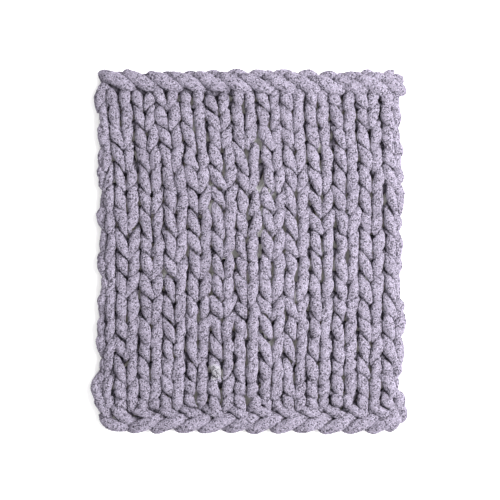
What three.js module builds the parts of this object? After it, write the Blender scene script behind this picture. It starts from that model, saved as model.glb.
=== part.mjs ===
// A chunky chenille blanket, hand knitted in stockinette from one continuous jumbo yarn.
// It lies flat on its purl side: one solid with a flat underside, and an upper face raised
// into the two legs of each stitch, the bound-off rope along the top edge and the cast-on
// braid along the bottom edge. Loose stitches leave gaps that go right through.
// Millimetres, +Z up, +Y towards the bound-off edge, origin under the middle of the blanket.
import * as THREE from "three";

// Heights of the upper face over the surface that the blanket lies on.
const THICKNESS = 40;
const LEG_TOP = 39;
const LEG_TUCK = 30;
const LEG_UNEVENNESS = 1.4;
const VALLEY = 29;
const OPEN_VALLEY = 24;
const JOINT_VALLEY = 18;
const GAP_RIM = 12;
const OUTLINE_HEIGHT = 16;

// The outermost leg on each side rolls under, so its two lines lie lower.
const EDGE_ROLL = { inner: 2, outer: 8 };

// The legs of a stitch lean apart towards the top, and the joint from one leg to the next
// drops from the side of its wale to the middle.
const LEG_LEAN = 2.8;
const JOINT_DROP = 25.6;
const PLACE_UNEVENNESS = 1.6;

// The underside starts inside the outline, because the yarn at the edge is round, and
// comes down over a shallow rim to the plain rectangle that touches the surface below.
const UNDERSIDE_RINGS = [
  { height: 6, inset: 2.5 },
  { height: 2, inset: 8 },
];
const REST_FACE = { width: 544, length: 632 };

// Wales, the columns of stitches, from left to right: the x of each middle at four levels.
const WALE_LEVELS = { bottom: -282, middle: -16, upper: 136, top: 288 };
const WALES = [
  { bottom: -278, middle: -278, upper: -279, top: -283 },
  { bottom: -235, middle: -231, upper: -235, top: -249 },
  { bottom: -191, middle: -185, upper: -187, top: -203 },
  { bottom: -147, middle: -140, upper: -140, top: -159 },
  { bottom: -102, middle: -94, upper: -96, top: -111 },
  { bottom: -54, middle: -50, upper: -47, top: -62 },
  { bottom: -7, middle: -3, upper: -1, top: -14 },
  { bottom: 41, middle: 43, upper: 47, top: 35 },
  { bottom: 85, middle: 90, upper: 90, top: 79 },
  { bottom: 130, middle: 138, upper: 136, top: 128 },
  { bottom: 178, middle: 185, upper: 185, top: 176 },
  { bottom: 227, middle: 233, upper: 231, top: 225 },
  { bottom: 273, middle: 280, upper: 280, top: 269 },
];

// Courses, the rows of stitches, from the cast-on edge upwards: the level of the joint at
// the foot of the legs, and how far the outline reaches to the left and right.
const COURSES = [
  { joint: -298, left: -297, right: 297 },
  { joint: -276, left: -300, right: 288 },
  { joint: -243, left: -291, right: 293 },
  { joint: -204, left: -295, right: 294 },
  { joint: -165, left: -293, right: 301 },
  { joint: -127, left: -292, right: 293 },
  { joint: -87, left: -286, right: 290 },
  { joint: -48, left: -287, right: 292 },
  { joint: -6, left: -289, right: 292 },
  { joint: 33, left: -291, right: 291 },
  { joint: 76, left: -287, right: 298 },
  { joint: 117, left: -293, right: 293 },
  { joint: 159, left: -290, right: 296 },
  { joint: 199, left: -292, right: 289 },
  { joint: 238, left: -289, right: 290 },
  { joint: 275, left: -294, right: 288 },
];
const EDGE_SCALLOP = 3;

// The bound-off rope: the level of its lower side at the left and right ends, the outline's
// level there, and the lines along it with their share of its width, height and ends.
const ROPE_FOOT = { left: 306, right: 294 };
const ROPE_TOP = { left: 346, right: 341 };
const ROPE_LINES = [
  { across: 0, height: 23, left: -291, right: 294 },
  { across: 0.25, height: 38, left: -294, right: 297 },
  { across: 0.52, height: 40, left: -293, right: 298 },
  { across: 0.78, height: 33, left: -289, right: 297 },
  { across: 1, height: 16, left: -283, right: 293 },
];
const ROPE_SLANT = 1.3;
const ROPE_LUMP_SHIFT = 0.8;
const ROPE_CREASE = 11;
const ROPE_SCALLOP = 6;

// The cast-on braid: two strands of lumps that slant opposite ways, from the outline up.
const BRAID_BOTTOM = -344;
const BRAID_LINES = [
  { across: 1, height: 16, left: -276, right: 276 },
  { across: 0.8, height: 35, left: -283, right: 289 },
  { across: 0.56, height: 37, left: -289, right: 297 },
  { across: 0.38, height: 28, left: -293, right: 300 },
  { across: 0.18, height: 36, left: -296, right: 300 },
];
const LOWER_STRAND = { from: 0.5, middle: 0.75, slant: 1.2, shift: 0 };
const UPPER_STRAND = { middle: 0.2, slant: -1.2, shift: -0.15 };
const BRAID_CREASE = 10;
const BRAID_SCALLOP = 7;

// The gaps that go right through: the joint they lie on, counted in courses, and the wales
// with a gap inside the V, or between that wale and the next. Two of them are wide.
const GAPS = [
  { joint: 4, inside: [7, 8], between: [] },
  { joint: 5, inside: [4, 5, 7], between: [7] },
  { joint: 6, inside: [5, 7, 8], between: [1, 4] },
  { joint: 7, inside: [6], between: [2, 4] },
  { joint: 8, inside: [], between: [3, 5, 6, 7] },
  { joint: 9, inside: [4, 5, 8], between: [6, 7] },
  { joint: 10, inside: [6, 8, 9, 10], between: [4, 6] },
  { joint: 11, inside: [5, 7, 8, 9, 10], between: [4, 6] },
  { joint: 12, inside: [5], between: [3] },
  { joint: 13, inside: [6], between: [6] },
];
const WIDE_GAPS = [
  { joint: 8, side: "between", wale: 5 },
  { joint: 10, side: "inside", wale: 10 },
];
const GAP_SIZE = { width: 8, length: 17 };
const WIDE_GAP_SIZE = { width: 11, length: 23 };

// Lines along the legs, as shares of half a wale: two on each leg, and one in each valley.
const LEG_SIDES = { inner: 0.14, outer: 0.36 };
const LINES_IN_WALE = [
  -0.5,
  -LEG_SIDES.outer,
  -LEG_SIDES.inner,
  0,
  LEG_SIDES.inner,
  LEG_SIDES.outer,
];
const PHASES = [0, 1 / 3, 2 / 3];

// Factors that scatter the unevenness of the stitches.
const MIX = { wale: 12.99, course: 78.23, side: 37.72, spread: 437.58 };

const BLANKET_FINISH = { color: 0xa79fb1, roughness: 1, metalness: 0 };

const { lerp, clamp } = THREE.MathUtils;
const LEFT_END = WALES[0].middle;
const RIGHT_END = WALES.at(-1).middle;

// A steady value from -1 to 1 that differs from stitch to stitch.
function uneven(wale, course, side) {
  const angle = wale * MIX.wale + course * MIX.course + side * MIX.side;
  const mixed = Math.sin(angle) * MIX.spread;
  return 2 * (mixed - Math.floor(mixed)) - 1;
}

// Whether a line of the face is the left or right outline of the blanket.
function isOutline(wale, offset) {
  if (offset === -0.5) return wale === 0;
  return offset === 0.5 && wale === WALES.length - 1;
}

// The x of a wale's middle at a level y, straight from one measured level to the next.
function waleMiddle(wale, y) {
  const keys = Object.keys(WALE_LEVELS);
  const above = keys.findIndex((key) => WALE_LEVELS[key] > y);
  const end = above < 0 ? keys.length - 1 : Math.max(above, 1);
  const from = WALE_LEVELS[keys[end - 1]];
  const to = WALE_LEVELS[keys[end]];
  const share = (y - from) / (to - from);
  return lerp(WALES[wale][keys[end - 1]], WALES[wale][keys[end]], share);
}

// The x of a line in a wale at level y, between the outlines at the two ends of its row.
function lineX(wale, offset, y, ends) {
  const middle = waleMiddle(wale, y);
  const beside = offset < 0 ? wale - 1 : wale + 1;
  let edge;
  if (beside < 0) edge = ends.left;
  else if (beside === WALES.length) edge = ends.right;
  else edge = (middle + waleMiddle(beside, y)) / 2;
  return lerp(middle, edge, 2 * Math.abs(offset));
}

// A round lump that repeats once in each wale, falling to 0 in the crease between two.
function lump(phase) {
  return Math.sqrt(Math.abs(Math.sin(Math.PI * phase)));
}

// A level that runs straight from the left end of the blanket to the right end.
function slopedLevel(ends, x) {
  return lerp(ends.left, ends.right, clamp((x - LEFT_END) / (RIGHT_END - LEFT_END), 0, 1));
}

// The level of a joint: straight where it meets the braid or the rope, else a V in each wale.
function jointLevel(joint, wale, offset) {
  if (joint === COURSES.length) return slopedLevel(ROPE_FOOT, WALES[wale].top);
  const level = COURSES[joint].joint;
  if (joint === 0) return level;
  return level + JOINT_DROP * (2 * Math.abs(offset) - 0.5);
}

// How far the outline reaches beside a course: it bulges at the legs and draws in at a joint.
function courseEnds(course, isJoint) {
  const here = COURSES[course];
  if (!isJoint) return here;
  const below = COURSES[Math.max(course - 1, 0)];
  return {
    left: (here.left + below.left) / 2 + EDGE_SCALLOP,
    right: (here.right + below.right) / 2 - EDGE_SCALLOP,
  };
}

// How much lower a line of the outermost leg lies, and 0 on all other legs.
function edgeRoll(wale, offset) {
  const isOutermost = offset < 0 ? wale === 0 : wale === WALES.length - 1;
  if (!isOutermost) return 0;
  return Math.abs(offset) === LEG_SIDES.inner ? EDGE_ROLL.inner : EDGE_ROLL.outer;
}

// A point of the stitches: a line in a wale, and a phase from one joint to the next.
function stitchPoint(wale, offset, course, phase) {
  const isValley = offset === 0 || offset === -0.5 || offset === 0.5;
  const isJoint = phase === 0;
  const y = lerp(jointLevel(course, wale, offset), jointLevel(course + 1, wale, offset), phase);
  let x = lineX(wale, offset, y, courseEnds(course, isJoint));
  if (isOutline(wale, offset)) return new THREE.Vector3(x, y, OUTLINE_HEIGHT);
  if (isValley) {
    const opensHere = (offset === 0) === phase > 0.5;
    let valley = opensHere ? OPEN_VALLEY : VALLEY;
    if (isJoint) valley = JOINT_VALLEY;
    return new THREE.Vector3(x, y, valley);
  }
  const side = Math.sign(offset);
  if (!isJoint) x += side * LEG_LEAN * (phase > 0.5 ? 1 : -1);
  x += PLACE_UNEVENNESS * uneven(wale, course, side);
  const crown = (isJoint ? LEG_TUCK : LEG_TOP) - edgeRoll(wale, offset);
  const height = crown + LEG_UNEVENNESS * uneven(course, wale, side);
  return new THREE.Vector3(x, y, Math.min(height, THICKNESS));
}

// A point of the bound-off rope.
function ropePoint(wale, offset, line) {
  const phase = wale + offset + ROPE_LUMP_SHIFT + ROPE_SLANT * (line.across - 0.5);
  const fullness = lump(phase);
  const near = WALES[wale].top;
  const foot = slopedLevel(ROPE_FOOT, near);
  const top = slopedLevel(ROPE_TOP, near) + ROPE_SCALLOP * (fullness - 0.5);
  const y = lerp(foot, top, line.across);
  const x = lineX(wale, offset, y, line);
  if (isOutline(wale, offset)) return new THREE.Vector3(x, y, OUTLINE_HEIGHT);
  const crease = line.across === 0 || line.across === 1 ? 0 : ROPE_CREASE * (1 - fullness);
  return new THREE.Vector3(x, y, line.height - crease);
}

// A point of the cast-on braid.
function braidPoint(wale, offset, line) {
  const strand = line.across > LOWER_STRAND.from ? LOWER_STRAND : UPPER_STRAND;
  const phase = wale + offset + strand.shift + strand.slant * (line.across - strand.middle);
  const fullness = lump(phase);
  const bottom = BRAID_BOTTOM - BRAID_SCALLOP * (fullness - 0.5);
  const y = lerp(COURSES[0].joint, bottom, line.across);
  const x = lineX(wale, offset, y, line);
  if (isOutline(wale, offset)) return new THREE.Vector3(x, y, OUTLINE_HEIGHT);
  const crease = line.across === 1 ? 0 : BRAID_CREASE * (1 - fullness);
  return new THREE.Vector3(x, y, line.height - crease);
}

// All lines of the face across the blanket, as wale and offset, and up it, as functions.
function linesAcross() {
  const lines = [];
  for (let wale = 0; wale < WALES.length; wale++) {
    for (const offset of LINES_IN_WALE) lines.push({ wale, offset });
  }
  lines.push({ wale: WALES.length - 1, offset: 0.5 });
  return lines;
}

function linesUp() {
  const lines = [];
  for (const line of BRAID_LINES) {
    lines.push({ slant: line.across > LOWER_STRAND.from ? 1 : -1, point: braidPoint, line });
  }
  COURSES.forEach((_, course) => {
    for (const phase of PHASES) lines.push({ joint: phase === 0 ? course : -1, course, phase });
  });
  for (const line of ROPE_LINES) lines.push({ slant: -1, point: ropePoint, line });
  return lines;
}

// The four points around a gap, one towards each neighbouring line.
function gapRim(centre, size) {
  const reach = [
    [size.width / 2, 0],
    [0, size.length / 2],
    [-size.width / 2, 0],
    [0, -size.length / 2],
  ];
  return reach.map(([dx, dy]) => new THREE.Vector3(centre.x + dx, centre.y + dy, GAP_RIM));
}

// The size of the gap at a joint, or undefined where the stitches are closed.
function gapSize(joint, wale, offset) {
  const row = GAPS.find((gap) => gap.joint === joint);
  if (!row) return undefined;
  const side = offset === 0 ? "inside" : "between";
  const owner = offset === 0 ? wale : wale - 1;
  if ((offset !== 0 && offset !== -0.5) || !row[side].includes(owner)) return undefined;
  const isWide = WIDE_GAPS.some(
    (gap) => gap.joint === joint && gap.side === side && gap.wale === owner,
  );
  return isWide ? WIDE_GAP_SIZE : GAP_SIZE;
}

// The blanket as one closed surface: the knitted face, the round edge and the underside.
function blanketGeometry() {
  const across = linesAcross();
  const up = linesUp();
  const points = [];
  const triangles = [];
  const rims = [];

  function addPoint(point) {
    points.push(point);
    return points.length - 1;
  }

  // Each crossing of two lines is one point, or the four points of a gap's rim.
  const crossings = across.map(({ wale, offset }) =>
    up.map(({ joint, course, phase, point, line }) => {
      const place = point
        ? point(wale, offset, line)
        : stitchPoint(wale, offset, course, phase);
      const size = gapSize(joint, wale, offset);
      if (!size) return [addPoint(place)];
      const rim = gapRim(place, size).map(addPoint);
      rims.push(rim);
      return rim;
    }),
  );

  // A crossing as a corner of a cell, which sees two points of a rim.
  function corner(column, row, first, second) {
    const crossing = crossings[column][row];
    return crossing.length === 1 ? crossing : [crossing[first], crossing[second]];
  }

  const [EAST, NORTH, WEST, SOUTH] = [0, 1, 2, 3];
  for (let column = 0; column + 1 < across.length; column++) {
    for (let row = 0; row + 1 < up.length; row++) {
      const corners = [
        corner(column, row, NORTH, EAST),
        corner(column + 1, row, WEST, NORTH),
        corner(column + 1, row + 1, SOUTH, WEST),
        corner(column, row + 1, EAST, SOUTH),
      ];
      const slant = up[row].slant ?? (across[column].offset < 0 ? -1 : 1);
      const split = corners.findIndex((found) => found.length === 2);
      const quadStart = slant > 0 ? 0 : 1;
      const start = split < 0 ? quadStart : (split + 2) % corners.length;
      const ring = [...corners.slice(start), ...corners.slice(0, start)].flat();
      for (let i = 1; i + 1 < ring.length; i++) triangles.push(ring[0], ring[i], ring[i + 1]);
    }
  }

  // The outline, anticlockwise, with the way inwards at each point.
  const lastColumn = across.length - 1;
  const lastRow = up.length - 1;
  const outline = [];
  for (let i = 0; i < lastColumn; i++) outline.push([i, 0]);
  for (let i = 0; i < lastRow; i++) outline.push([lastColumn, i]);
  for (let i = lastColumn; i > 0; i--) outline.push([i, lastRow]);
  for (let i = lastRow; i > 0; i--) outline.push([0, i]);
  function inwards(index, last) {
    return (index === 0 ? 1 : 0) - (index === last ? 1 : 0);
  }

  // A band of triangles from a ring of points down to the next ring.
  function addBand(upper, lower) {
    upper.forEach((point, i) => {
      const next = (i + 1) % upper.length;
      triangles.push(point, lower[i], lower[next], point, lower[next], upper[next]);
    });
  }

  const edge = outline.map(([column, row]) => crossings[column][row][0]);
  let ring = edge;
  for (const { height, inset } of UNDERSIDE_RINGS) {
    const lower = outline.map(([column, row], i) => {
      const from = points[edge[i]];
      const x = from.x + inset * inwards(column, lastColumn);
      const y = from.y + inset * inwards(row, lastRow);
      return addPoint(new THREE.Vector3(x, y, height));
    });
    addBand(ring, lower);
    ring = lower;
  }

  // Each gap's wall goes straight down to the underside.
  const feet = rims.map((rim) => {
    const foot = rim.map((i) => addPoint(new THREE.Vector3(points[i].x, points[i].y, 0)));
    addBand(rim.toReversed(), foot.toReversed());
    return foot;
  });

  // A face that looks down, inside one ring of points and around others.
  function addUnderside(outer, inner) {
    const flat = (i) => new THREE.Vector2(points[i].x, points[i].y);
    const holes = inner.map((hole) => hole.map(flat));
    const found = THREE.ShapeUtils.triangulateShape(outer.map(flat), holes);
    const all = [...outer, ...inner.flat()];
    for (const [a, b, c] of found) triangles.push(all[a], all[c], all[b]);
  }

  const rest = [
    [-1, -1],
    [1, -1],
    [1, 1],
    [-1, 1],
  ].map(([right, up]) => {
    const x = (right * REST_FACE.width) / 2;
    const y = (up * REST_FACE.length) / 2;
    return addPoint(new THREE.Vector3(x, y, 0));
  });
  addUnderside(ring, [rest]);
  addUnderside(rest, feet);

  const geometry = new THREE.BufferGeometry().setFromPoints(points);
  geometry.setIndex(triangles);
  geometry.computeVertexNormals();
  return geometry;
}

// The blanket sits with the middle of its box over the origin.
function centred(geometry) {
  geometry.computeBoundingBox();
  const middle = geometry.boundingBox.getCenter(new THREE.Vector3());
  return geometry.translate(-middle.x, -middle.y, 0);
}

const blanket = new THREE.Mesh(
  centred(blanketGeometry()),
  new THREE.MeshStandardMaterial(BLANKET_FINISH),
);
blanket.name = "blanket";

const part = new THREE.Group();
part.add(blanket);

export default part;
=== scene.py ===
"""Looks of a chunky chenille blanket, hand knitted from one plush yarn and laid flat.

The yarn is laid as a knitter lays it: a cast-on braid from right to left along the bottom edge,
sixteen courses of thirteen stitches to and fro, and a bound-off rope from left to right along the
top edge. It is cut into pieces at the left edge, after the braid and after every second course.
Tables of the knitting are in millimetres, X to the right, Y up the wales, Z off the floor.
"""

import logging
import math
from dataclasses import dataclass
from enum import Enum
from typing import Any, Mapping, NamedTuple, Optional, Sequence, Union

import bpy
import numpy as np
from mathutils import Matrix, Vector


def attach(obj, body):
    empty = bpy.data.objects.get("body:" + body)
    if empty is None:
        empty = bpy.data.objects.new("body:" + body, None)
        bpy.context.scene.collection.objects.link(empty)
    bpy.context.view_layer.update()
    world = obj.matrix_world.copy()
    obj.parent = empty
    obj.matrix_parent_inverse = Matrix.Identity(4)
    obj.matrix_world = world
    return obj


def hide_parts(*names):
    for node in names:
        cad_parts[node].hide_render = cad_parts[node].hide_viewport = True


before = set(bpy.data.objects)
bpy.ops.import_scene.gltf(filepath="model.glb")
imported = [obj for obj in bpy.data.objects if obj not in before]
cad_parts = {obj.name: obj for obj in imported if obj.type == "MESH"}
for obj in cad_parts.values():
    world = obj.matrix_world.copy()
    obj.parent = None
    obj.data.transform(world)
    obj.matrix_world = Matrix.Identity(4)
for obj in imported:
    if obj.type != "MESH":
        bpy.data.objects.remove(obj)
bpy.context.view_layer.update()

log = logging.getLogger("blanket")

MM = 0.001
BODY = "root"
SOLID = "blanket"
IMAGE_PIXELS = 500
MM_PER_PIXEL = 1.9

# What the yarn's points carry, and the map that lays its colours out by tone and by pile height and painted
# shade.
YARN_RADIUS = "yarn_radius"
PILE_TONE = "pile_tone"
# The height share in the pile times the painted shade; low values take the painted root shade.
PILE_HEIGHT_AND_SHADE = "pile_height"
# Painted shade from how open the yarn lies to short rays, darker where other yarn lies close.
PAINTED_PILE_LIGHT = "pile_light"
BAKE_MAP = "OFBake"

# The two fields that the trees read at each point.
POSITION = "GeometryNodeInputPosition"
NORMAL = "GeometryNodeInputNormal"

# A noise texture keeps close to its mean, so the lumps stretch it.
NOISE_MEAN = 0.5
NOISE_STRETCH = 2.0

# A limit that no point reaches, in metres.
FAR_BELOW = -10.0

Rows = np.ndarray
Value = Union["Wire", float, int, bool, str, Sequence[float], bpy.types.ID]


class Hand(Enum):
    """The two legs of a stitch, and the two sides of the blanket."""

    LEFT = -1
    RIGHT = 1

    @property
    def index(self) -> int:
        """Returns the hand's place in a pair, left first."""
        return 0 if self is Hand.LEFT else 1


class Place(Enum):
    """The places along half a loop, from behind the course below to behind the course above."""

    FOOT = 0
    TIP = 1
    LOW = 2
    MIDDLE = 3
    HIGH = 4
    SHOULDER = 5
    CHEEK = 6
    CROWN = 7


class Draw(Enum):
    """The random draws of the pile, each with its own shift of the seed."""

    CORE_HEIGHT_AND_SHADE = 1
    TONE = 2
    TURN = 3
    SCALE = 4
    UNEVEN = 5
    PIT = 6


class Span(NamedTuple):
    """Two limits."""

    low: float
    high: float


UNIT = Span(0.0, 1.0)


class Wale(NamedTuple):
    """A column of stitches: its middle at each of WALE_LEVELS, how far its legs lean, and its girth."""

    bottom: float
    middle: float
    upper: float
    top: float
    left_lean: float
    right_lean: float
    girth: float = 1.0

    def lean(self, hand: Hand) -> float:
        """Returns how far one leg leans, as a share of the usual lean."""
        return self.left_lean if hand is Hand.LEFT else self.right_lean


class Course(NamedTuple):
    """One row of stitches: where its legs meet below, and the two sides of the outline there."""

    joint: float
    left: float
    right: float

    def reach(self, hand: Hand) -> float:
        """Returns where the outline lies on one side."""
        return self.left if hand is Hand.LEFT else self.right


class GapRow(NamedTuple):
    """The see-through gaps at one joint: inside these wales, and to the right of these wales."""

    joint: int
    inside: tuple[int, ...]
    between: tuple[int, ...]


class YarnPoint(NamedTuple):
    """A place on a loop or link: out from its middle, along from its start, its height and radius.

    On the links of an edge, rise is how much further up it lies once the first few links are past.
    """

    side: float
    along: float
    height: float
    radius: float
    rise: float = 0.0


class Stop(NamedTuple):
    """A place that the yarn passes at one end of an edge chain, with its height and radius."""

    x: float
    y: float
    height: float
    radius: float


# The field: wales from the left, courses from the bottom, and the gaps that show the floor.
WALE_LEVELS = (-282.0, -16.0, 136.0, 288.0)
WALES = (
    Wale(-279, -271, -278, -292, 0.9, 0.7, 0.84),
    Wale(-235, -231, -235, -249, 1.15, 0.8),
    Wale(-191, -185, -187, -203, 1.1, 0.8),
    Wale(-147, -140, -140, -159, 1.05, 0.8),
    Wale(-102, -94, -96, -111, 0.95, 0.7),
    Wale(-54, -50, -47, -62, 0.9, 0.65),
    Wale(-7, -3, -1, -14, 0.85, 0.6),
    Wale(41, 43, 47, 35, 0.9, 0.65),
    Wale(85, 90, 90, 79, 0.95, 0.65),
    Wale(130, 138, 136, 128, 0.95, 0.65),
    Wale(178, 185, 185, 176, 0.95, 0.7),
    Wale(227, 233, 231, 225, 0.95, 0.7),
    Wale(273, 280, 280, 269, 1.1, 0.7),
)
COURSES = (
    Course(-300, -297, 297),
    Course(-276, -300, 288),
    Course(-243, -291, 293),
    Course(-204, -295, 294),
    Course(-165, -293, 301),
    Course(-127, -292, 293),
    Course(-87, -286, 290),
    Course(-48, -292, 292),
    Course(-6, -289, 292),
    Course(33, -294, 291),
    Course(76, -287, 298),
    Course(117, -293, 293),
    Course(159, -290, 296),
    Course(199, -292, 289),
    Course(238, -289, 290),
    Course(275, -294, 288),
)
TOP_JOINT = 311.0
COURSES_PER_PIECE = 2
GAPS = (
    GapRow(4, (7, 8), ()),
    GapRow(5, (4, 5, 7), (7,)),
    GapRow(6, (5, 7, 8), (1, 4)),
    GapRow(7, (6,), (2, 4)),
    GapRow(8, (), (3, 5, 6, 7)),
    GapRow(9, (4, 5, 8), (6, 7)),
    GapRow(10, (6, 8, 9, 10), (4, 6)),
    GapRow(11, (5, 7, 8, 9, 10), (4, 6)),
    GapRow(12, (5,), (3,)),
    GapRow(13, (6,), (6,)),
)

# A usual stitch, drawn for one course's pitch and half a wale's pitch.
PITCH = 39.5
HALF_WALE = 23.3
FOOT = {Place.FOOT: YarnPoint(12.0, -12.0, 8.4, 7.8)}
LEGS = {
    Hand.LEFT: {
        Place.TIP: YarnPoint(3.2, -6.5, 19.0, 3.8),
        Place.LOW: YarnPoint(5.4, 1.5, 26.5, 6.8),
        Place.MIDDLE: YarnPoint(11.7, 20.0, 28.3, 12.2),
        Place.HIGH: YarnPoint(16.5, 37.5, 24.5, 7.2),
        Place.SHOULDER: YarnPoint(19.0, 46.0, 18.0, 4.0),
    },
    Hand.RIGHT: {
        Place.TIP: YarnPoint(3.6, -6.5, 19.0, 5.0),
        Place.LOW: YarnPoint(5.8, 1.5, 26.0, 7.5),
        Place.MIDDLE: YarnPoint(11.7, 20.0, 28.0, 12.0),
        Place.HIGH: YarnPoint(16.5, 37.5, 25.0, 7.8),
        Place.SHOULDER: YarnPoint(19.0, 46.0, 18.5, 5.4),
    },
}
HEAD = {
    Place.CHEEK: YarnPoint(12.0, 58.0, 8.4, 7.6),
    Place.CROWN: YarnPoint(0.0, 66.0, 8.4, 8.0),
}
HALF_LOOPS = {hand: {**FOOT, **leg, **HEAD} for hand, leg in LEGS.items()}

# The distance from the middle that a leg leans about, and the places that lie under the rope.
LEG_MIDDLE = 11.0
TUCKED = (Place.HIGH, Place.SHOULDER)

# How far inside the outline an outermost leg stays.
EDGE_INSETS = {
    Place.FOOT: 10.0,
    Place.TIP: 8.0,
    Place.LOW: 3.0,
    Place.HIGH: 3.0,
    Place.SHOULDER: 8.0,
    Place.CHEEK: 14.0,
    Place.CROWN: 14.0,
}

# The yarn between two stitches, the same beside a gap, and how far a crown drops to clear a gap.
SINKER = YarnPoint(HALF_WALE, 6.0, 9.4, 9.2)
GAP_SINKER = YarnPoint(HALF_WALE, -12.0, 8.0, 7.4)
GAP_CROWN_DROP = 16.0

# The links of the two edges, drawn along the edge for one link's pitch.
LINK_PITCH = 46.6
ROPE_LINK = (
    YarnPoint(10.5, -2.0, 18.0, 10.0),
    YarnPoint(8.0, 6.0, 24.5, 12.2),
    YarnPoint(3.5, 18.0, 28.5, 13.2),
    YarnPoint(-3.0, 32.0, 28.8, 13.4),
    YarnPoint(-8.0, 44.0, 29.5, 12.8),
    YarnPoint(-10.5, 53.0, 26.5, 11.2),
    YarnPoint(-12.0, 59.0, 14.0, 8.0),
    YarnPoint(-18.0, 50.0, 10.0, 9.0),
    YarnPoint(-19.0, 36.0, 10.0, 9.0),
    YarnPoint(-16.0, 22.0, 10.0, 9.0),
    YarnPoint(-8.0, 20.0, 9.0, 8.6),
    YarnPoint(-2.0, 16.0, 10.0, 8.6, 13.0),
    YarnPoint(0.0, 24.0, 14.5, 10.2, 17.0),
    YarnPoint(1.0, 34.0, 15.5, 10.4, 17.5),
    YarnPoint(0.0, 44.0, 14.5, 10.2, 17.0),
    YarnPoint(-2.0, 52.0, 10.0, 8.6, 13.0),
)
ROPE_LEAD = (
    Stop(-284.0, 268.0, 12.0, 8.0),
    Stop(-288.0, 280.0, 16.0, 8.8),
    Stop(-288.0, 294.0, 18.0, 9.0),
    Stop(-282.0, 310.0, 17.0, 8.8),
    Stop(-275.0, 323.0, 12.0, 8.5),
)
ROPE_TAIL = (
    Stop(256.0, 323.0, 16.0, 8.8),
    Stop(264.0, 319.0, 23.5, 11.8),
    Stop(274.0, 313.5, 27.0, 13.4),
    Stop(284.0, 309.0, 25.5, 12.8),
    Stop(290.0, 305.0, 17.5, 10.0),
    Stop(283.0, 309.0, 8.5, 8.5),
    Stop(280.0, 320.0, 9.0, 8.5),
    Stop(288.0, 327.0, 12.5, 9.8),
    Stop(276.0, 330.0, 14.5, 9.8),
    Stop(260.0, 332.0, 13.0, 9.5),
)
BRAID_LINK = (
    YarnPoint(7.0, 22.0, 18.0, 9.0),
    YarnPoint(10.0, 29.0, 25.0, 9.8),
    YarnPoint(15.0, 40.0, 27.0, 10.2),
    YarnPoint(20.0, 51.0, 23.0, 9.6),
    YarnPoint(23.0, 59.0, 14.0, 8.5),
    YarnPoint(10.0, 66.0, 8.5, 8.2),
    YarnPoint(-6.0, 70.0, 8.5, 8.2),
    YarnPoint(-15.0, 66.0, 12.0, 9.5),
    YarnPoint(-16.5, 56.0, 20.5, 11.4),
    YarnPoint(-12.0, 42.0, 26.5, 12.4),
    YarnPoint(-5.0, 26.0, 28.0, 12.4),
    YarnPoint(1.0, 12.0, 25.0, 11.2),
    YarnPoint(5.0, 2.0, 16.0, 9.5),
    YarnPoint(4.0, 6.0, 8.5, 8.2),
    YarnPoint(2.0, 40.0, 8.5, 8.2),
)
BRAID_LEAD = (
    Stop(275.0, -289.0, 11.0, 8.5),
    Stop(288.0, -297.0, 18.0, 9.5),
    Stop(293.0, -309.0, 21.0, 10.0),
    Stop(286.0, -320.0, 14.0, 9.5),
    Stop(272.0, -316.0, 9.0, 8.5),
    Stop(276.0, -303.0, 16.0, 9.5),
    Stop(279.0, -314.0, 26.0, 11.0),
    Stop(274.0, -328.0, 26.0, 11.4),
    Stop(266.0, -337.0, 16.0, 10.0),
    Stop(268.0, -326.0, 9.0, 8.5),
)
BRAID_TAIL = (
    Stop(-226.0, -321.0, 16.0, 9.5),
    Stop(-239.0, -314.0, 25.0, 11.6),
    Stop(-251.0, -305.0, 26.5, 12.0),
    Stop(-261.0, -295.0, 18.0, 10.0),
    Stop(-262.0, -302.0, 9.0, 8.5),
    Stop(-240.0, -322.0, 9.0, 8.5),
    Stop(-237.0, -332.0, 17.0, 10.8),
    Stop(-256.0, -331.0, 21.0, 12.4),
    Stop(-273.0, -325.0, 18.0, 11.4),
    Stop(-279.0, -316.0, 11.0, 9.5),
    Stop(-269.0, -313.0, 17.0, 9.8),
    Stop(-276.0, -298.0, 25.0, 10.8),
    Stop(-286.0, -279.0, 24.0, 10.8),
    Stop(-290.0, -259.0, 20.0, 10.5),
    Stop(-286.0, -240.0, 15.0, 9.5),
    Stop(-278.0, -228.0, 10.0, 8.5),
)


def placed(name: str, data: bpy.types.ID) -> bpy.types.Object:
    """Puts a mesh, a light or a camera into the scene.

    Args:
        name: the object's name.
        data: what it holds.

    Returns:
        The object, at the origin.
    """
    made = bpy.data.objects.new(name, data)
    bpy.context.scene.collection.objects.link(made)
    return made


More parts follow.
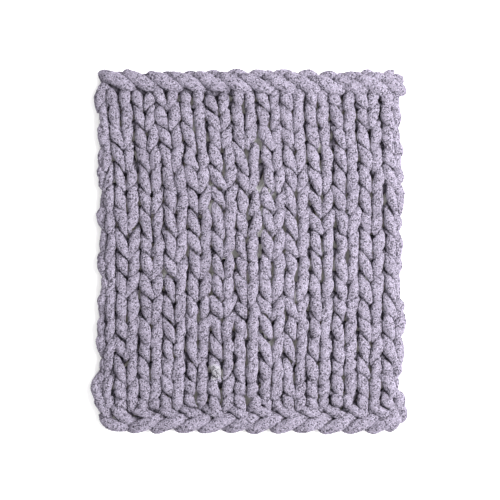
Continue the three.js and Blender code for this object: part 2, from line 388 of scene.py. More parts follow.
class Wire:
    """An output socket of a node tree, with Python's operators as Math nodes."""

    def __init__(self, canvas: "Canvas", socket: bpy.types.NodeSocket) -> None:
        """Keeps the tree and the socket."""
        self.canvas = canvas
        self.socket = socket

    def other(self, name: str) -> "Wire":
        """Returns another output of the same node."""
        return Wire(self.canvas, self.socket.node.outputs[name])

    def maths(self, operation: str, first: Value, second: Value = 0.0) -> "Wire":
        """Adds one Math node.

        Args:
            operation: the Math node's operation.
            first: its first value.
            second: its second value, where the operation has one.

        Returns:
            The node's result.
        """
        return self.canvas.node("ShaderNodeMath", {"operation": operation}, {0: first, 1: second})

    def __add__(self, value: Value) -> "Wire":
        """Returns this plus a value."""
        return self.maths("ADD", self, value)

    def __radd__(self, value: Value) -> "Wire":
        """Returns a value plus this."""
        return self.maths("ADD", value, self)

    def __sub__(self, value: Value) -> "Wire":
        """Returns this minus a value."""
        return self.maths("SUBTRACT", self, value)

    def __rsub__(self, value: Value) -> "Wire":
        """Returns a value minus this."""
        return self.maths("SUBTRACT", value, self)

    def __mul__(self, value: Value) -> "Wire":
        """Returns this times a value."""
        return self.maths("MULTIPLY", self, value)

    def __rmul__(self, value: Value) -> "Wire":
        """Returns a value times this."""
        return self.maths("MULTIPLY", value, self)

    def __truediv__(self, value: Value) -> "Wire":
        """Returns this divided by a value."""
        return self.maths("DIVIDE", self, value)

    def __rtruediv__(self, value: Value) -> "Wire":
        """Returns a value divided by this."""
        return self.maths("DIVIDE", value, self)

    def __abs__(self) -> "Wire":
        """Returns this without its sign."""
        return self.maths("ABSOLUTE", self)

    def __gt__(self, value: Value) -> "Wire":
        """Returns one where this is above a value, and zero elsewhere."""
        return self.maths("GREATER_THAN", self, value)

    def __lt__(self, value: Value) -> "Wire":
        """Returns one where this is below a value, and zero elsewhere."""
        return self.maths("LESS_THAN", self, value)

    def or_more(self, value: Value) -> "Wire":
        """Returns the larger of this and a value."""
        return self.maths("MAXIMUM", self, value)

    def or_less(self, value: Value) -> "Wire":
        """Returns the smaller of this and a value."""
        return self.maths("MINIMUM", self, value)


class Canvas:
    """A node tree under construction, of a material or of geometry."""

    def __init__(self, tree: bpy.types.NodeTree) -> None:
        """Keeps the tree."""
        self.tree = tree

    def node(
        self,
        kind: str,
        settings: Optional[Mapping[str, Any]] = None,
        sockets: Optional[Mapping[Union[str, int], Value]] = None,
        output: Union[str, int] = 0,
    ) -> Wire:
        """Adds a node of any type.

        Args:
            kind: the node's type.
            settings: its properties, which are set first.
            sockets: values or links for its inputs, by name or number.
            output: the output to return.

        Returns:
            That output.
        """
        made = self.tree.nodes.new(kind)
        for name, value in (settings or {}).items():
            setattr(made, name, value)
        for key, value in (sockets or {}).items():
            self.feed(made, key, value)
        return Wire(self, made.outputs[output])

    def feed(self, node: bpy.types.Node, key: Union[str, int], value: Value) -> None:
        """Gives one input of a node a value or a link.

        Args:
            node: the node.
            key: the input's name or number.
            value: what it gets.
        """
        if isinstance(value, Wire):
            self.tree.links.new(value.socket, node.inputs[key])
        else:
            node.inputs[key].default_value = value

    def ramped(self, value: Value, span: Span, result: Span = UNIT) -> Wire:
        """Adds one Map Range node.

        Args:
            value: the value to map.
            span: the limits that it is read between.
            result: what those limits become.

        Returns:
            The mapped value, which stays between the new limits.
        """
        sockets = {0: value, 1: span.low, 2: span.high, 3: result.low, 4: result.high}
        return self.node("ShaderNodeMapRange", None, sockets)


class Surface(Canvas):
    """The tree of a new material, around its one shader."""

    def __init__(self, name: str) -> None:
        """Starts the material.

        Args:
            name: the material's name.
        """
        self.material = bpy.data.materials.new(name)
        self.material.use_nodes = True
        super().__init__(self.material.node_tree)
        self.shader = self.tree.nodes["Principled BSDF"]

    def give(self, inputs: Mapping[str, Value]) -> None:
        """Gives the shader's inputs values or links, by name."""
        for name, value in inputs.items():
            self.feed(self.shader, name, value)

    def mixed(self, share: Value, first: Value, second: Value) -> Wire:
        """Returns a mix of two colours by a share."""
        return self.node("ShaderNodeMix", {"data_type": "RGBA"}, {0: share, 6: first, 7: second}, 2)


class GeometryTree(Canvas):
    """A Geometry Nodes tree with named sizes, which turns one mesh into a finished piece."""

    def __init__(self, name: str, sizes: Mapping[str, Union[int, float]]) -> None:
        """Starts the tree.

        Args:
            name: the tree's name.
            sizes: its named inputs, whole numbers or lengths.
        """
        tree = bpy.data.node_groups.new(name, "GeometryNodeTree")
        super().__init__(tree)
        self.sizes = dict(sizes)
        self.identifiers: dict[str, str] = {}
        for direction in ("INPUT", "OUTPUT"):
            tree.interface.new_socket("Geometry", in_out=direction, socket_type="NodeSocketGeometry")
        for label, value in sizes.items():
            kind = "NodeSocketInt" if isinstance(value, int) else "NodeSocketFloat"
            socket = tree.interface.new_socket(label, in_out="INPUT", socket_type=kind)
            self.identifiers[label] = socket.identifier
        self.entry = tree.nodes.new("NodeGroupInput")

    def size(self, label: str) -> Wire:
        """Returns one named input of the tree."""
        return Wire(self, self.entry.outputs[label])

    def vector(self, operation: str, first: Value, second: Value) -> Wire:
        """Adds one Vector Math node.

        Args:
            operation: the node's operation.
            first: its first vector.
            second: its second vector, or the factor of a SCALE.

        Returns:
            The resulting vector.
        """
        key: Union[str, int] = "Scale" if operation == "SCALE" else 1
        return self.node("ShaderNodeVectorMath", {"operation": operation}, {0: first, key: second})

    def axis(self, field: str, name: str) -> Wire:
        """Returns one axis of the position or of the normal."""
        return self.node("ShaderNodeSeparateXYZ", None, {0: self.node(field)}, name)

    def stored(self, geometry: Wire, name: str, value: Value) -> Wire:
        """Keeps a value at each point.

        Args:
            geometry: what gets the value.
            name: the value's name.
            value: the value.

        Returns:
            The geometry with the value.
        """
        settings = {"data_type": "FLOAT", "domain": "POINT"}
        sockets = {"Geometry": geometry, "Name": name, "Value": value}
        return self.node("GeometryNodeStoreNamedAttribute", settings, sockets)

    def kept(self, name: str) -> Wire:
        """Returns a value that was kept at each point."""
        return self.node("GeometryNodeInputNamedAttribute", {"data_type": "FLOAT"}, {"Name": name})

    def noise(self, scale: Value, detail: float) -> Wire:
        """Returns a noise over the position."""
        return self.node("ShaderNodeTexNoise", None, {"Scale": scale, "Detail": detail})

    def seed(self, draw: Draw) -> Wire:
        """Returns the seed of one random draw."""
        return self.size("Seed") + draw.value

    def scattered(self, span: Span, draw: Draw) -> Wire:
        """Returns a random value for each item, between two limits."""
        sockets = {2: span.low, 3: span.high, "Seed": self.seed(draw)}
        return self.node("FunctionNodeRandomValue", {"data_type": "FLOAT"}, sockets, 1)

    def joined(self, first: Wire, second: Wire) -> Wire:
        """Puts two geometries together.

        Args:
            first: one geometry.
            second: the other.

        Returns:
            Both as one.
        """
        both = self.node("GeometryNodeJoinGeometry", None, {"Geometry": first})
        self.feed(both.socket.node, "Geometry", second)
        return both

    def close(self, geometry: Wire, material: bpy.types.Material) -> None:
        """Ends the tree with real geometry in one material.

        Args:
            geometry: what the tree has made.
            material: the material it gets.
        """
        real = self.node("GeometryNodeRealizeInstances", None, {"Geometry": geometry})
        dressed = self.node("GeometryNodeSetMaterial", None, {"Geometry": real, "Material": material})
        self.feed(self.tree.nodes.new("NodeGroupOutput"), "Geometry", dressed)

    def apply(self, source: bpy.types.Mesh, name: str) -> bpy.types.Object:
        """Runs the tree on a mesh.

        Args:
            source: the mesh that it starts from.
            name: the piece's name.

        Returns:
            An object at the origin that holds the result as a plain mesh.
        """
        piece = placed(name, source)
        modifier = piece.modifiers.new(name, "NODES")
        modifier.node_group = self.tree
        for label, value in self.sizes.items():
            modifier[self.identifiers[label]] = value
        graph = bpy.context.evaluated_depsgraph_get()
        made = bpy.data.meshes.new_from_object(piece.evaluated_get(graph), depsgraph=graph)
        piece.modifiers.remove(modifier)
        piece.data = made
        made.name = name
        return piece


@dataclass(frozen=True)
class ChenilleFinish:
    """The plush surface of the yarn: pale lavender tips over roots painted near-black as the shade deep in
    the pile.
    """

    # root is painted shade: the near-black that stands for the dark deep in the pile.
    root: tuple[float, float, float] = (0.012, 0.01, 0.014)
    dull: tuple[float, float, float] = (0.122, 0.108, 0.143)
    pale: tuple[float, float, float] = (0.33, 0.301, 0.374)
    slub: tuple[float, float, float] = (0.315, 0.308, 0.33)
    slub_from: float = 0.88
    specular: float = 0.15
    sheen: float = 0.14
    sheen_roughness: float = 0.6
    sheen_tint: tuple[float, float, float] = (0.86, 0.77, 1.0)
    roughness_fall: float = 0.12

    def material(self, name: str) -> bpy.types.Material:
        """Builds the material.

        Args:
            name: the material's name.

        Returns:
            The finished material.
        """
        surface = Surface(name)
        tone = surface.node("ShaderNodeAttribute", {"attribute_name": PILE_TONE}, None, "Fac")
        # The pile height, with the painted shade multiplied in, mixes the painted root shade into the tip
        # colour.
        height = surface.node("ShaderNodeAttribute", {"attribute_name": PILE_HEIGHT_AND_SHADE}, None, "Fac")
        usual = surface.mixed(tone, (*self.dull, 1.0), (*self.pale, 1.0))
        tip = surface.mixed(surface.ramped(tone, Span(self.slub_from, 1.0)), usual, (*self.slub, 1.0))
        surface.give(
            {
                "Base Color": surface.mixed(height, (*self.root, 1.0), tip),
                "Roughness": 1.0 - self.roughness_fall * height,
                "Specular IOR Level": self.specular,
                "Sheen Weight": self.sheen,
                "Sheen Roughness": self.sheen_roughness,
                "Sheen Tint": (*self.sheen_tint, 1.0),
            }
        )
        return surface.material


@dataclass(frozen=True)
class FloorFinish:
    """The plain pale surface that the blanket lies on, with a faint olive painted glow that lifts its
    shade.
    """

    colour: tuple[float, float, float] = (0.96, 0.96, 0.965)
    # Painted light: a faint olive emission that lifts the shaded floor seen through the gaps and beside the
    # edges.
    painted_glow: tuple[float, float, float] = (0.034, 0.029, 0.022)
    roughness: float = 0.9

    def material(self, name: str) -> bpy.types.Material:
        """Builds the floor's material.

        Args:
            name: the material's name.

        Returns:
            The finished material.
        """
        surface = Surface(name)
        surface.give(
            {
                "Base Color": (*self.colour, 1.0),
                "Roughness": self.roughness,
                "Emission Color": (*self.painted_glow, 1.0),
                "Emission Strength": 1.0,
            }
        )
        return surface.material


@dataclass
class Strand:
    """Yarn as rows of x, y, height and radius in millimetres, cut after some of the rows."""

    name: str
    rows: Rows
    cuts: tuple[int, ...] = ()

    @classmethod
    def joined(cls, name: str, strands: Sequence["Strand"]) -> "Strand":
        """Returns several strands as one, cut where each of them ends."""
        ends = np.cumsum([len(strand.rows) for strand in strands])[:-1] - 1
        return cls(name, np.concatenate([strand.rows for strand in strands]), tuple(ends))

    def mesh(self) -> bpy.types.Mesh:
        """Draws the strand.

        Returns:
            A mesh of edges in metres, with the yarn's radius at each point.
        """
        made = bpy.data.meshes.new(self.name)
        starts = np.delete(np.arange(len(self.rows) - 1), self.cuts)
        edges = np.column_stack((starts, starts + 1))
        made.from_pydata((self.rows[:, :3] * MM).tolist(), edges.tolist(), [])
        radius = made.attributes.new(YARN_RADIUS, "FLOAT", "POINT")
        radius.data.foreach_set("value", (self.rows[:, 3] * MM).astype(np.float32))
        return made


@dataclass
class StitchField:
    """Sixteen courses of stockinette, laid to and fro between the two edges."""

    seed: int = 11
    wander: float = 1.9
    fatness: float = 0.06
    joint_wander: float = 4.5
    lean_wander: float = 0.13
    gap_push: float = 4.5
    edge_drop: float = 9.0
    edge_base: float = 8.0
    edge_rise: float = 21.0
    turn_height: float = 18.0
    turn_radius: float = 10.0
    turn_bulge: float = 12.0
    turn_drop: float = 8.0
    turn_reach: float = 16.0
    tuck: float = 14.0

    def __post_init__(self) -> None:
        """Draws the unevenness of every stitch, and notes which legs a gap pushes aside."""
        random = np.random.default_rng(self.seed)
        shape = (len(COURSES), len(WALES), 2 * len(Place) - 1)
        self.drift = random.normal(0.0, self.wander, shape + (3,))
        self.girth = 1.0 + random.normal(0.0, self.fatness, shape[:2])
        self.sag = random.normal(0.0, self.joint_wander, (shape[0] + 1, shape[1]))
        self.lean = 1.0 + random.normal(0.0, self.lean_wander, shape[:2] + (2,))
        self.joints = [course.joint for course in COURSES] + [TOP_JOINT]
        self.hollow = {(row.joint, wale) for row in GAPS for wale in row.inside}
        self.open = {(row.joint, wale) for row in GAPS for wale in row.between}
        self.push: dict[tuple[int, int, Hand, Place], float] = {}
        for row in GAPS:
            for wale in row.inside:
                for hand in Hand:
                    self.push[row.joint - 1, wale, hand, Place.HIGH] = self.gap_push
                    self.push[row.joint - 1, wale, hand, Place.SHOULDER] = self.gap_push
            for wale in row.between:
                for neighbour, hand in ((wale, Hand.RIGHT), (wale + 1, Hand.LEFT)):
                    self.push[row.joint, neighbour, hand, Place.LOW] = -self.gap_push
                    self.push[row.joint - 1, neighbour, hand, Place.SHOULDER] = -self.gap_push

    @staticmethod
    def wale_middle(wale: int, level: float) -> float:
        """Returns where a wale's middle lies at a level."""
        return float(np.interp(level, WALE_LEVELS, WALES[wale][: len(WALE_LEVELS)]))

    def half_wale(self, wale: int, level: float) -> float:
        """Measures how far apart the wales are.

        Args:
            wale: the wale.
            level: how far up the blanket.

        Returns:
            Half of the distance between wales there, as a share of the usual one.
        """
        first = max(wale - 1, 0)
        last = min(wale + 1, len(WALES) - 1)
        span = self.wale_middle(last, level) - self.wale_middle(first, level)
        return span / (last - first) / (2.0 * HALF_WALE)

    def half_loop(self, course: int, wale: int, hand: Hand) -> list[list[float]]:
        """Lays one leg of a stitch.

        Args:
            course: the stitch's course.
            wale: the stitch's wale.
            hand: which leg.

        Returns:
            Rows from the foot to the crown.
        """
        joint = self.joints[course] + self.sag[course, wale]
        stretch = (self.joints[course + 1] + self.sag[course + 1, wale] - joint) / PITCH
        outer = wale == hand.index * (len(WALES) - 1)
        lean = WALES[wale].lean(hand) * self.lean[course, wale, hand.index]
        rows = []
        for place, point in HALF_LOOPS[hand].items():
            level = joint + point.along * stretch
            middle = self.wale_middle(wale, level)
            usual = LEG_MIDDLE + lean * (point.side - LEG_MIDDLE) if place in LEGS[hand] else point.side
            side = usual * self.half_wale(wale, level)
            side += self.push.get((course, wale, hand, place), 0.0)
            height = point.height
            if outer:
                reach = abs(COURSES[course].reach(hand))
                side = min(side, reach - point.radius - abs(middle) - EDGE_INSETS.get(place, 0.0))
                height -= self.edge_drop * (point.height - self.edge_base) / self.edge_rise
            if course == len(COURSES) - 1 and place in TUCKED:
                height -= self.tuck
            if place is Place.CROWN and (course + 2, wale) in self.hollow:
                level -= GAP_CROWN_DROP
            rows.append([middle + hand.value * side, level, height, point.radius])
        return rows

    def loop(self, course: int, wale: int) -> Rows:
        """Lays one stitch.

        Args:
            course: the stitch's course.
            wale: the stitch's wale.

        Returns:
            Rows from its left foot over its crown to its right foot.
        """
        left = self.half_loop(course, wale, Hand.LEFT)
        right = self.half_loop(course, wale, Hand.RIGHT)
        rows = np.array(left + right[-2::-1])
        rows[:, :3] += self.drift[course, wale]
        rows[:, 3] *= self.girth[course, wale] * WALES[wale].girth
        rows[:, 2] = np.maximum(rows[:, 2], rows[:, 3])
        return rows

    def turn(self, course: int, hand: Hand) -> Rows:
        """Lays the turn at the end of a course, up to the next one.

        Args:
            course: the course that ends.
            hand: the side that it ends at.

        Returns:
            Rows along the turn.
        """
        place = COURSES[course].reach(hand) - hand.value * self.turn_radius
        inside = place - hand.value * self.turn_bulge
        centre = self.joints[course + 1] - self.turn_drop
        stops = ((inside, centre - self.turn_reach), (place, centre), (inside, centre + self.turn_reach))
        return np.array([[x, level, self.turn_height, self.turn_radius] for x, level in stops])

    def row(self, course: int) -> Rows:
        """Lays one course from left to right, with the sinkers between its stitches.

        Args:
            course: the course.

        Returns:
            Rows of the whole course.
        """
        parts = []
        for wale in range(len(WALES)):
            loop = self.loop(course, wale)
            if parts:
                sinker = GAP_SINKER if (course, wale - 1) in self.open else SINKER
                between = 0.5 * (parts[-1][-1] + loop[0])
                between[1:] = self.joints[course] + sinker.along, sinker.height, sinker.radius
                parts.append(between[None])
            parts.append(loop)
        return np.concatenate(parts)

    def strand(self, name: str, courses: range) -> Strand:
        """Lays several courses to and fro as one strand.

        Args:
            name: the piece's name.
            courses: the courses, from the lowest.

        Returns:
            The strand.
        """
        parts = []
        for course in courses:
            row = self.row(course)
            hand = Hand.RIGHT if course % 2 == 0 else Hand.LEFT
            parts.append(row if hand is Hand.RIGHT else row[::-1])
            parts.append(self.turn(course, hand))
        return Strand(name, np.concatenate(parts))


@dataclass
class EdgeChain:
    """A chain of links along one edge: the bound-off rope or the cast-on braid."""

    name: str
    link: Sequence[YarnPoint]
    lead: Sequence[Stop]
    tail: Sequence[Stop]
    start: tuple[float, float]
    end: tuple[float, float]
    count: int
    seed: int = 5
    wander: float = 1.0
    rising_links: int = 5

    def strand(self) -> Strand:
        """Lays the links one after another.

        Returns:
            The chain as one strand, from its lead to its tail.
        """
        random = np.random.default_rng(self.seed)
        start = np.array(self.start)
        step = (np.array(self.end) - start) / self.count
        stretch = abs(step[0]) / LINK_PITCH
        direction = math.copysign(1.0, step[0])
        rows = []
        for number in range(self.count):
            corner = start + number * step
            for point in self.link:
                x = corner[0] + direction * point.along * stretch
                y = corner[1] + step[1] / abs(step[0]) * point.along * stretch + point.side
                y += point.rise * min(number / self.rising_links, 1.0)
                rows.append([x, y, point.height, point.radius])
        laid = np.array([*self.lead, *rows, *self.tail])
        laid[:, :3] += random.normal(0.0, self.wander, (len(laid), 3))
        laid[:, 2] = np.maximum(laid[:, 2], laid[:, 3])
        return Strand(self.name, laid)


@dataclass
class PlushYarn:
    """Sweeps a strand into round yarn, and covers what shows of it with short tufts of pile."""

    # The round yarn under the pile, and the painted shade on it, which is less on the undersides that get
    # no tufts.
    ring_spacing: float = 4.6 * MM
    sides: int = 14
    lump_size: float = 7.0 * MM
    lump_height: float = 1.0 * MM
    lump_detail: float = 1.0
    pile_depth: float = 1.1 * MM
    floor_gap: float = 0.2 * MM
    core_height_and_shade: Span = Span(0.25, 0.6)
    core_light: Span = Span(0.35, 0.75)
    underside: float = -0.35
    underside_lift: float = 0.5

    # The tufts, and the ones painted near-black as the shade in pits of the pile.
    tufts_per_square_metre: float = 500000.0
    tuft_spacing: float = 1.85 * MM
    tuft_radius: float = 2.15 * MM
    tuft_height: float = 1.1 * MM
    tuft_sides: int = 3
    # Painted shade: the share of the tip colour that is left at a tuft's base.
    tuft_root_light: float = 0.7
    tuft_scale: Span = Span(0.8, 1.2)
    tuft_tilt: float = 0.25
    tuft_light: Span = Span(0.2, 0.55)
    pit_share: float = 0.18
    pit_shade: float = 0.97
    pit_growth: float = 0.03

    # Where the pile goes: above this height, past these distances from the middle, and under the edges.
    pile_from: float = 17.0 * MM
    pile_side: float = 255.0 * MM
    pile_end: float = 290.0 * MM
    edge_tilt: float = -0.85

    # The tone, in broad patches and tuft by tuft, and the paler slub.
    patches_per_metre: float = 16.0
    patch_detail: float = 2.0
    patch_depth: float = 0.5
    tone_spread: Span = Span(0.08, 0.92)
    tone_top: float = 0.86
    tone_jitter: Span = Span(-0.04, 0.04)
    slub: tuple[float, float, float] = (-67.5 * MM, -229.0 * MM, 36.0 * MM)
    slub_radius: float = 15.0 * MM

    # The painted shade down between the legs, which fades out towards the edges.
    crease_depth: Span = Span(12.5 * MM, 20.5 * MM)
    crease_light: Span = Span(0.12, 1.0)
    crease_side: Span = Span(270.0 * MM, 285.0 * MM)
    crease_end: Span = Span(325.0 * MM, 338.0 * MM)

    # The rays that tell how open the yarn lies, which set the painted shade and which tufts stay.
    rays: int = 6
    ray_start: float = 0.6 * MM
    ray_slant: float = 0.9
    ray_reach: float = 3.6 * MM
    least_open: float = 0.45

    # The rim left free on the map, and the seed of the random draws.
    map_margin: float = 0.05
    seed: int = 3

    def sizes(self) -> dict[str, Union[int, float]]:
        """Lists what the trees take as named inputs.

        Returns:
            The sizes by name.
        """
        return {
            "Ring spacing": self.ring_spacing,
            "Sides": self.sides,
            "Lumps per metre": 1.0 / self.lump_size,
            "Lump height": self.lump_height,
            "Tufts per square metre": self.tufts_per_square_metre,
            "Tuft spacing": self.tuft_spacing,
            "Tuft radius": self.tuft_radius,
            "Tuft height": self.tuft_height,
            "Pile depth": self.pile_depth,
            "Ray reach": self.ray_reach,
            "Seed": self.seed,
        }

    def bare(self, strands: Sequence[Strand], material: bpy.types.Material) -> bpy.types.Object:
        """Makes all the yarn without its pile, for the rays to meet.

        Args:
            strands: all the strands.
            material: the yarn's material.

        Returns:
            An object that is only there while the pieces are made.
        """
        tree = GeometryTree("bare yarn", self.sizes())
        tree.close(self.core(tree), material)
        return tree.apply(Strand.joined("bare_yarn", strands).mesh(), "bare_yarn")

    def piece(
        self, strand: Strand, bare: bpy.types.Object, material: bpy.types.Material
    ) -> bpy.types.Object:
        """Makes one piece of yarn.

        Args:
            strand: the strand to sweep.
            bare: all the yarn without its pile.
            material: the yarn's material.

        Returns:
            The piece's object.
        """
        tree = GeometryTree("yarn " + strand.name, self.sizes())
        core = self.core(tree)
        open_share = self.openness(tree, tree.node(NORMAL), bare)
        # Painted shade on the core, darker where other yarn lies close.
        lit = tree.stored(core, PAINTED_PILE_LIGHT, tree.ramped(open_share, self.core_light))
        both = tree.joined(lit, self.tufts(tree, core, bare))
        here = tree.node(POSITION)
        above = tree.vector("MAXIMUM", here, (FAR_BELOW, FAR_BELOW, self.floor_gap))
        resting = tree.node("GeometryNodeSetPosition", None, {"Geometry": both, "Position": above})
        soft = tree.node("GeometryNodeSetShadeSmooth", None, {"Geometry": resting})
        # Painted shade: the pile height is multiplied by the painted shade from the rays and from the
        # creases.
        height = tree.kept(PILE_HEIGHT_AND_SHADE) * tree.kept(PAINTED_PILE_LIGHT) * self.crease(tree)
        shaded = tree.stored(soft, PILE_HEIGHT_AND_SHADE, height)
        uneven = tree.kept(PILE_TONE) + tree.scattered(self.tone_jitter, Draw.UNEVEN)
        toned = tree.stored(shaded, PILE_TONE, uneven.or_less(UNIT.high).or_more(UNIT.low))
        tree.close(self.mapped(tree, toned), material)
        return tree.apply(strand.mesh(), strand.name)

    def openness(self, tree: GeometryTree, normal: Wire, bare: bpy.types.Object) -> Wire:
        """Sends slanting rays out from each point.

        Args:
            tree: where the nodes go.
            normal: the way out from the yarn at each point.
            bare: all the yarn without its pile.

        Returns:
            The share of the rays that meet no yarn close by.
        """
        around = tree.node("GeometryNodeObjectInfo", None, {"Object": bare}, "Geometry")
        clear = tree.vector("SCALE", normal, self.ray_start)
        start = tree.vector("ADD", tree.node(POSITION), clear)
        free: Value = 1.0
        for number in range(self.rays):
            angle = math.tau * number / self.rays
            aside = (self.ray_slant * math.cos(angle), self.ray_slant * math.sin(angle), 0.0)
            sockets = {
                "Target Geometry": around,
                "Source Position": start,
                "Ray Direction": tree.vector("ADD", normal, aside),
                "Ray Length": tree.size("Ray reach"),
            }
            free = free - tree.node("GeometryNodeRaycast", None, sockets) * (1.0 / self.rays)
        return free

    def crease(self, tree: GeometryTree) -> Wire:
        """Paints shade on the yarn down between the legs.

        Args:
            tree: where the nodes go.

        Returns:
            The share of the pile's colour that is left, which is all of it at the edges.
        """
        place = tree.axis(POSITION, "Z")
        depth = tree.ramped(place, self.crease_depth, self.crease_light)
        side = tree.ramped(abs(place.other("X")), self.crease_side)
        end = tree.ramped(abs(place.other("Y")), self.crease_end)
        return depth.or_more(side.or_more(end))

    def core(self, tree: GeometryTree) -> Wire:
        """Sweeps the strand.

        Args:
            tree: where the nodes go.

        Returns:
            The closed, slightly lumpy yarn under the pile, painted darker than the tips as the shade among
            the tufts.
        """
        line = tree.node("GeometryNodeMeshToCurve", None, {"Mesh": tree.size("Geometry")})
        smooth = tree.node("GeometryNodeCurveSplineType", {"spline_type": "CATMULL_ROM"}, {"Curve": line})
        sockets = {"Curve": smooth, "Length": tree.size("Ring spacing")}
        even = tree.node("GeometryNodeResampleCurve", {"mode": "LENGTH"}, sockets)
        radius = tree.kept(YARN_RADIUS) - tree.size("Pile depth")
        sockets = {"Resolution": tree.size("Sides"), "Radius": 1.0}
        ring = tree.node("GeometryNodeCurvePrimitiveCircle", {"mode": "RADIUS"}, sockets)
        sockets = {"Curve": even, "Profile Curve": ring, "Scale": radius, "Fill Caps": True}
        tube = tree.node("GeometryNodeCurveToMesh", None, sockets)
        lumps = tree.noise(tree.size("Lumps per metre"), self.lump_detail)
        rise = (lumps - NOISE_MEAN) * tree.size("Lump height") * NOISE_STRETCH
        offset = tree.vector("SCALE", tree.node(NORMAL), rise)
        moved = tree.node("GeometryNodeSetPosition", None, {"Geometry": tube, "Offset": offset})
        toned = tree.stored(moved, PILE_TONE, self.tone(tree))
        # Painted shade: the core takes part of the dark root colour, less on its undersides, which get no
        # tufts.
        below = tree.axis(NORMAL, "Z") < self.underside
        height = tree.scattered(self.core_height_and_shade, Draw.CORE_HEIGHT_AND_SHADE) + below * self.underside_lift
        core_shaded = tree.stored(toned, PILE_HEIGHT_AND_SHADE, height)
        return tree.stored(core_shaded, PAINTED_PILE_LIGHT, 1.0)

    def shows(self, tree: GeometryTree) -> Wire:
        """Finds where the pile is to go.

        Args:
            tree: where the nodes go.

        Returns:
            One where the yarn shows from above or from the sides, and zero elsewhere.
        """
        outward = tree.axis(NORMAL, "Z")
        place = tree.axis(POSITION, "Z")
        aside = abs(place.other("X")) > self.pile_side
        along = abs(place.other("Y")) > self.pile_end
        edge = aside.or_more(along)
        return (outward > self.edge_tilt * edge) * (place > self.pile_from).or_more(edge)

    def tone(self, tree: GeometryTree) -> Wire:
        """Varies how pale the pile is.

        Args:
            tree: where the nodes go.

        Returns:
            The tone at each point, by broad patches and tuft by tuft, and past the palest in the slub.
        """
        patches = tree.noise(self.patches_per_metre, self.patch_detail)
        sockets = {0: tree.node(POSITION), 1: self.slub}
        away = tree.node("ShaderNodeVectorMath", {"operation": "DISTANCE"}, sockets, "Value")
        usual = (patches - NOISE_MEAN) * self.patch_depth + tree.scattered(self.tone_spread, Draw.TONE)
        return usual.or_less(self.tone_top) + (away < self.slub_radius)

    def tufts(self, tree: GeometryTree, core: Wire, bare: bpy.types.Object) -> Wire:
        """Sets tufts on the yarn where it shows and has room for them.

        Args:
            tree: where the nodes go.
            core: the yarn under the pile.
            bare: all the yarn without its pile.

        Returns:
            The tufts, each a closed flat cone.
        """
        sockets = {
            "Mesh": core,
            "Selection": self.shows(tree),
            "Distance Min": tree.size("Tuft spacing"),
            "Density Max": tree.size("Tufts per square metre"),
            "Seed": tree.size("Seed"),
        }
        points = tree.node("GeometryNodeDistributePointsOnFaces", {"distribute_method": "POISSON"}, sockets)
        open_share = self.openness(tree, points.other("Normal"), bare)
        # Painted shade on each tuft from the same rays; the most crowded tufts are dropped.
        lit = tree.stored(points, PAINTED_PILE_LIGHT, open_share)
        sockets = {"Geometry": lit, "Selection": tree.kept(PAINTED_PILE_LIGHT) < self.least_open}
        roomy = tree.node("GeometryNodeDeleteGeometry", {"domain": "POINT"}, sockets)
        # Painted shade: a share of the tufts is painted near-black, and grown a little, to stand for the
        # shade in pits of the pile.
        pit = tree.scattered(UNIT, Draw.PIT) < self.pit_share
        light = tree.ramped(tree.kept(PAINTED_PILE_LIGHT), self.tuft_light) * (1.0 - self.pit_shade * pit)
        pitted = tree.stored(roomy, PAINTED_PILE_LIGHT, light)
        toned = tree.stored(pitted, PILE_TONE, self.tone(tree))
        sockets = {
            "Vertices": self.tuft_sides,
            "Radius Top": 0.0,
            "Radius Bottom": tree.size("Tuft radius"),
            "Depth": tree.size("Tuft height"),
        }
        cone = tree.node("GeometryNodeMeshCone", {"fill_type": "NGON"}, sockets)
        # Painted shade down each tuft, from its painted dark base to its tip.
        share = tree.axis(POSITION, "Z") / tree.size("Tuft height")
        tuft = tree.stored(cone, PILE_HEIGHT_AND_SHADE, share * (1.0 - self.tuft_root_light) + self.tuft_root_light)
        sockets = {
            0: (-self.tuft_tilt, -self.tuft_tilt, 0.0),
            1: (self.tuft_tilt, self.tuft_tilt, math.tau),
            "Seed": tree.seed(Draw.TURN),
        }
        turn = tree.node("FunctionNodeRandomValue", {"data_type": "FLOAT_VECTOR"}, sockets)
        twist = tree.node("FunctionNodeEulerToRotation", None, {"Euler": turn})
        sockets = {"Rotation": points.other("Rotation"), "Rotate By": twist}
        rotation = tree.node("FunctionNodeRotateRotation", {"rotation_space": "LOCAL"}, sockets)
        sockets = {
            "Points": toned,
            "Instance": tuft,
            "Rotation": rotation,
            "Scale": tree.scattered(self.tuft_scale, Draw.SCALE) * (1.0 + self.pit_growth * pit),
        }
        planted = tree.node("GeometryNodeInstanceOnPoints", None, sockets)
        return tree.node("GeometryNodeRealizeInstances", None, {"Geometry": planted})

    def mapped(self, tree: GeometryTree, geometry: Wire) -> Wire:
        """Gives the yarn a map on which each point lies by its tone and by its pile height with the painted
        shade in it.

        Args:
            tree: where the nodes go.
            geometry: the yarn with its pile.

        Returns:
            The yarn with the map.
        """
        spread = 1.0 - 2.0 * self.map_margin
        across = tree.kept(PILE_TONE) * spread + self.map_margin
        up = tree.kept(PILE_HEIGHT_AND_SHADE) * spread + self.map_margin
        spot = tree.node("ShaderNodeCombineXYZ", None, {"X": across, "Y": up})
        settings = {"data_type": "FLOAT2", "domain": "CORNER"}
        sockets = {"Geometry": geometry, "Name": BAKE_MAP, "Value": spot}
        return tree.node("GeometryNodeStoreNamedAttribute", settings, sockets)


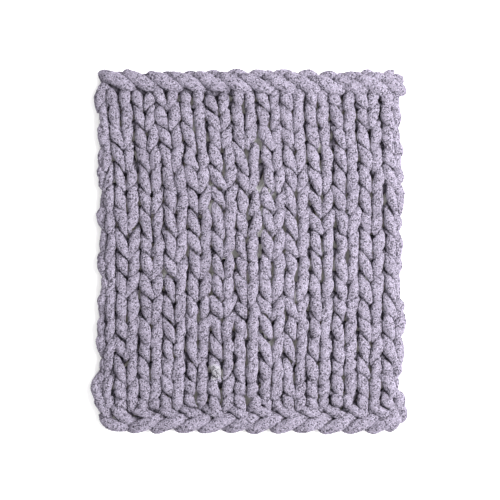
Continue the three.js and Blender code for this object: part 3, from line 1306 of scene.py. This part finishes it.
@dataclass
class Studio:
    """The floor, a soft light, an even surround and the camera above."""

    metres_across: float = IMAGE_PIXELS * MM_PER_PIXEL * MM
    camera_height: float = 3.0
    crests: float = 30.0 * MM
    middle: tuple[float, float] = (0.9 * MM, 2.8 * MM)
    sensor: float = 36.0
    floor_half: float = 4.0
    lamp_place: tuple[float, float, float] = (1.35, 0.25, 1.65)
    lamp_size: float = 1.6
    lamp_power: float = 200.0
    surround: float = 1.25

    def build(self) -> None:
        """Makes the floor, the camera, the light and the surround."""
        self.floor()
        self.camera()
        self.lamp()
        self.world()
        bpy.context.scene.view_settings.view_transform = "Standard"

    def floor(self) -> None:
        """Lays the floor."""
        half = self.floor_half
        mesh = bpy.data.meshes.new("floor")
        corners = [(-half, -half, 0.0), (half, -half, 0.0), (half, half, 0.0), (-half, half, 0.0)]
        mesh.from_pydata(corners, [], [(0, 1, 2, 3)])
        mesh.materials.append(FloorFinish().material("pale floor"))
        floor = placed("floor", mesh)

    def camera(self) -> None:
        """Hangs the camera straight above the blanket, with its height measured from the crests."""
        lens = bpy.data.cameras.new("camera")
        lens.sensor_fit = "HORIZONTAL"
        lens.sensor_width = self.sensor
        lens.lens = self.sensor * self.camera_height / self.metres_across
        camera = placed("camera", lens)
        camera.location = (*self.middle, self.camera_height + self.crests)
        bpy.context.scene.camera = camera

    def lamp(self) -> None:
        """Hangs one square soft light that faces the blanket."""
        light = bpy.data.lights.new("key", "AREA")
        light.size = self.lamp_size
        light.energy = self.lamp_power
        lamp = placed("key", light)
        lamp.location = self.lamp_place
        lamp.rotation_euler = Vector(self.lamp_place).to_track_quat("Z", "Y").to_euler()

    def world(self) -> None:
        """Sets an even white surround."""
        world = bpy.data.worlds.new("surround")
        world.use_nodes = True
        background = world.node_tree.nodes["Background"]
        background.inputs["Color"].default_value = (1.0, 1.0, 1.0, 1.0)
        background.inputs["Strength"].default_value = self.surround
        bpy.context.scene.world = world


def declare(piece: bpy.types.Object) -> None:
    """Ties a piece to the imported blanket.

    Args:
        piece: a finished piece of yarn.
    """
    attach(piece, BODY)
    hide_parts(SOLID)
    triangles = len(piece.data.loops) - 2 * len(piece.data.polygons)
    log.info("%s: %d triangles", piece.name, triangles)


def lay_yarn() -> list[Strand]:
    """Lays the whole blanket.

    Returns:
        The strands of the pieces, from the bottom edge to the top edge.
    """
    braid = EdgeChain(
        name="cast_on_braid",
        link=BRAID_LINK,
        lead=BRAID_LEAD,
        tail=BRAID_TAIL,
        start=(291.0, -320.0),
        end=(-211.0, -320.0),
        count=11,
    )
    rope = EdgeChain(
        name="bound_off_rope",
        link=ROPE_LINK,
        lead=ROPE_LEAD,
        tail=ROPE_TAIL,
        start=(-277.0, 327.0),
        end=(254.0, 315.0),
        count=12,
    )
    field = StitchField()
    strands = [braid.strand()]
    for first in range(0, len(COURSES), COURSES_PER_PIECE):
        last = first + COURSES_PER_PIECE
        strands.append(field.strand(f"stitches_{first + 1}_to_{last}", range(first, last)))
    strands.append(rope.strand())
    return strands


def main() -> None:
    """Builds the blanket and its studio."""
    logging.basicConfig(level=logging.INFO)
    Studio().build()
    material = ChenilleFinish().material("chenille yarn")
    strands = lay_yarn()
    yarn = PlushYarn()
    bare = yarn.bare(strands, material)
    pieces = [yarn.piece(strand, bare, material) for strand in strands]
    bpy.data.objects.remove(bare)
    for piece in pieces:
        declare(piece)


if __name__ == "__main__":
    main()
